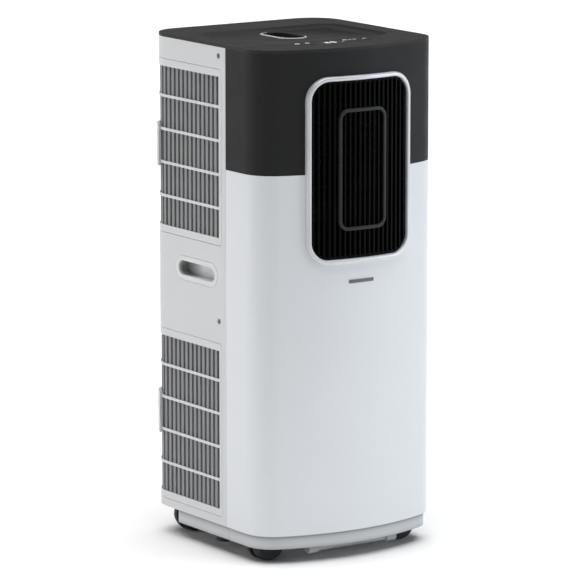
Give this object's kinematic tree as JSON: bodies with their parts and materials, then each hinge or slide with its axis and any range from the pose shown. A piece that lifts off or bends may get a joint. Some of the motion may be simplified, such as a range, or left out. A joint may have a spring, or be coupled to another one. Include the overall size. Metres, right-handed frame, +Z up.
{
  "type": "portable air conditioner",
  "caption": "Tall portable air conditioner on casters with a bowed front, louvred outlet, wraparound intake grilles, hand recesses, top controls and rear exhaust collar.",
  "frame": {"origin": "on the floor under the middle of the machine", "axes": "+Z up, front towards -Y; left and right in names are as seen from the front, so left is -X"},
  "size_m": [0.296, 0.3225, 0.7],
  "materials": {
    "white_gloss": "smooth gloss",
    "dark_gloss": "smooth satin gloss",
    "light_grey": "fine matt texture",
    "screw_steel": "plated",
    "inner_grey": "matt",
    "filter_mesh": "fine woven mesh",
    "black_rubber": "matt",
    "silver": "satin",
    "panel_gloss": "mirror gloss",
    "display_glass": "dark tinted",
    "circuit_board": "solder mask",
    "black_plastic": "fine matt texture",
    "dark_grey": "satin",
    "motor_steel": "satin",
    "fin_aluminium": "bare fins",
    "compressor_paint": "satin black enamel",
    "copper_pipe": "bare copper with lacquer",
    "pan_steel": "galvanised",
    "caster_plastic": "fine matt texture",
    "caster_wheel": "hard tread"
  },
  "bodies": {
    "cabinet": {"front_lower_shell": "white_gloss", "front_upper_shell": "dark_gloss", "left_hand_cup": "light_grey", "right_hand_cup": "light_grey", "rear_shell": "light_grey", "shell_screws": "screw_steel", "inner_frame": "inner_grey", "exhaust_collar": "light_grey", "cord_inlet": "black_rubber", "drain_spouts": "light_grey", "top_cover": "dark_gloss", "top_recess_lip": "silver", "control_panel": "panel_gloss", "display_window": "display_glass", "control_board": "circuit_board", "outlet_frame": "silver", "outlet_guard": "black_plastic", "outlet_ring": "dark_grey", "air_duct": "black_plastic", "louvre_motor": "motor_steel", "blower_casing": "inner_grey", "condenser_scroll": "inner_grey", "fan_motors": "motor_steel", "evaporator_coil": "fin_aluminium", "condenser_coil": "fin_aluminium", "drip_deck": "inner_grey", "compressor": "compressor_paint", "compressor_grommets": "black_rubber", "refrigerant_pipes": "copper_pipe", "base_pan": "pan_steel", "skirt": "white_gloss", "front_rail": "light_grey", "caster_sockets": "black_plastic"},
    "power_key": {"power_key": "panel_gloss"},
    "mode_key": {"mode_key": "panel_gloss"},
    "fan_key": {"fan_key": "panel_gloss"},
    "down_key": {"down_key": "panel_gloss"},
    "up_key": {"up_key": "panel_gloss"},
    "louvre_blade_1": {"louvre_blade_1": "black_plastic"},
    "louvre_blade_2": {"louvre_blade_2": "black_plastic"},
    "louvre_blade_3": {"louvre_blade_3": "black_plastic"},
    "louvre_blade_4": {"louvre_blade_4": "black_plastic"},
    "louvre_blade_5": {"louvre_blade_5": "black_plastic"},
    "louvre_link": {"louvre_link": "black_plastic"},
    "evaporator_fan": {"evaporator_fan": "black_plastic"},
    "condenser_fan": {"condenser_fan": "black_plastic"},
    "upper_intake_panel": {"upper_grille": "light_grey", "upper_filter": "filter_mesh"},
    "lower_intake_panel": {"lower_grille": "light_grey", "lower_filter": "filter_mesh"},
    "front_left_caster_fork": {"front_left_caster_fork": "caster_plastic"},
    "front_left_caster_wheels": {"front_left_caster_wheels": "caster_wheel"},
    "front_right_caster_fork": {"front_right_caster_fork": "caster_plastic"},
    "front_right_caster_wheels": {"front_right_caster_wheels": "caster_wheel"},
    "rear_left_caster_fork": {"rear_left_caster_fork": "caster_plastic"},
    "rear_left_caster_wheels": {"rear_left_caster_wheels": "caster_wheel"},
    "rear_right_caster_fork": {"rear_right_caster_fork": "caster_plastic"},
    "rear_right_caster_wheels": {"rear_right_caster_wheels": "caster_wheel"},
    "rear_drain_plug": {"rear_drain_plug": "black_rubber"},
    "bottom_drain_plug": {"bottom_drain_plug": "black_rubber"}
  },
  "joints": [
    {"name": "power_key_press", "type": "slide", "parent": "cabinet", "child": "power_key", "axis": [0, 0, -1], "range_m": [0, 0.0005], "stiffness_N_per_m": 400, "springref_m": -0.0005},
    {"name": "mode_key_press", "type": "slide", "parent": "cabinet", "child": "mode_key", "axis": [0, 0, -1], "range_m": [0, 0.0005], "stiffness_N_per_m": 400, "springref_m": -0.0005},
    {"name": "fan_key_press", "type": "slide", "parent": "cabinet", "child": "fan_key", "axis": [0, 0, -1], "range_m": [0, 0.0005], "stiffness_N_per_m": 400, "springref_m": -0.0005},
    {"name": "down_key_press", "type": "slide", "parent": "cabinet", "child": "down_key", "axis": [0, 0, -1], "range_m": [0, 0.0005], "stiffness_N_per_m": 400, "springref_m": -0.0005},
    {"name": "up_key_press", "type": "slide", "parent": "cabinet", "child": "up_key", "axis": [0, 0, -1], "range_m": [0, 0.0005], "stiffness_N_per_m": 400, "springref_m": -0.0005},
    {"name": "louvre_swing", "type": "hinge", "parent": "cabinet", "child": "louvre_blade_1", "pos_m": [0, -0.114, 0.6235], "axis": [1, 0, 0], "range_deg": [-28, 28]},
    {"name": "louvre_swing_2", "type": "hinge", "parent": "cabinet", "child": "louvre_blade_2", "pos_m": [0, -0.114, 0.5795], "axis": [1, 0, 0], "range_deg": [-28, 28]},
    {"name": "louvre_swing_3", "type": "hinge", "parent": "cabinet", "child": "louvre_blade_3", "pos_m": [0, -0.114, 0.5355], "axis": [1, 0, 0], "range_deg": [-28, 28]},
    {"name": "louvre_swing_4", "type": "hinge", "parent": "cabinet", "child": "louvre_blade_4", "pos_m": [0, -0.114, 0.4915], "axis": [1, 0, 0], "range_deg": [-28, 28]},
    {"name": "louvre_swing_5", "type": "hinge", "parent": "cabinet", "child": "louvre_blade_5", "pos_m": [0, -0.114, 0.4475], "axis": [1, 0, 0], "range_deg": [-28, 28]},
    {"name": "louvre_link_pivot", "type": "hinge", "parent": "louvre_blade_1", "child": "louvre_link", "pos_m": [0.066, -0.104, 0.6235], "axis": [1, 0, 0], "range_deg": [-28, 28]},
    {"name": "evaporator_fan_spin", "type": "hinge", "parent": "cabinet", "child": "evaporator_fan", "pos_m": [0, 0.01, 0.5355], "axis": [1, 0, 0], "continuous": true},
    {"name": "condenser_fan_spin", "type": "hinge", "parent": "cabinet", "child": "condenser_fan", "pos_m": [0, 0.07, 0.185], "axis": [0, 1, 0], "continuous": true},
    {"name": "upper_intake_panel_pull", "type": "slide", "parent": "cabinet", "child": "upper_intake_panel", "axis": [0, 1, 0], "range_m": [0, 0.15]},
    {"name": "lower_intake_panel_pull", "type": "slide", "parent": "cabinet", "child": "lower_intake_panel", "axis": [0, 1, 0], "range_m": [0, 0.15]},
    {"name": "front_left_caster_swivel", "type": "hinge", "parent": "cabinet", "child": "front_left_caster_fork", "pos_m": [-0.1085, -0.09, 0.06], "axis": [0, 0, 1], "continuous": true},
    {"name": "front_left_caster_roll", "type": "hinge", "parent": "front_left_caster_fork", "child": "front_left_caster_wheels", "pos_m": [-0.114, -0.09, 0.023], "axis": [0, 1, 0], "continuous": true},
    {"name": "front_right_caster_swivel", "type": "hinge", "parent": "cabinet", "child": "front_right_caster_fork", "pos_m": [0.1085, -0.09, 0.06], "axis": [0, 0, 1], "continuous": true},
    {"name": "front_right_caster_roll", "type": "hinge", "parent": "front_right_caster_fork", "child": "front_right_caster_wheels", "pos_m": [0.103, -0.09, 0.023], "axis": [0, 1, 0], "continuous": true},
    {"name": "rear_left_caster_swivel", "type": "hinge", "parent": "cabinet", "child": "rear_left_caster_fork", "pos_m": [-0.0965, 0.11, 0.06], "axis": [0, 0, 1], "continuous": true},
    {"name": "rear_left_caster_roll", "type": "hinge", "parent": "rear_left_caster_fork", "child": "rear_left_caster_wheels", "pos_m": [-0.102, 0.11, 0.023], "axis": [0, 1, 0], "continuous": true},
    {"name": "rear_right_caster_swivel", "type": "hinge", "parent": "cabinet", "child": "rear_right_caster_fork", "pos_m": [0.0965, 0.11, 0.06], "axis": [0, 0, 1], "continuous": true},
    {"name": "rear_right_caster_roll", "type": "hinge", "parent": "rear_right_caster_fork", "child": "rear_right_caster_wheels", "pos_m": [0.091, 0.11, 0.023], "axis": [0, 1, 0], "continuous": true},
    {"name": "rear_drain_plug_pull", "type": "slide", "parent": "cabinet", "child": "rear_drain_plug", "axis": [0, 1, 0], "range_m": [0, 0.02]},
    {"name": "bottom_drain_plug_pull", "type": "slide", "parent": "cabinet", "child": "bottom_drain_plug", "axis": [0, 0, -1], "range_m": [0, 0.007]}
  ],
  "couplings": [
    {"joint": "louvre_swing_2", "follows": "louvre_swing", "ratio": 1},
    {"joint": "louvre_swing_3", "follows": "louvre_swing", "ratio": 1},
    {"joint": "louvre_swing_4", "follows": "louvre_swing", "ratio": 1},
    {"joint": "louvre_swing_5", "follows": "louvre_swing", "ratio": 1},
    {"joint": "louvre_link_pivot", "follows": "louvre_swing", "ratio": -1}
  ]
}
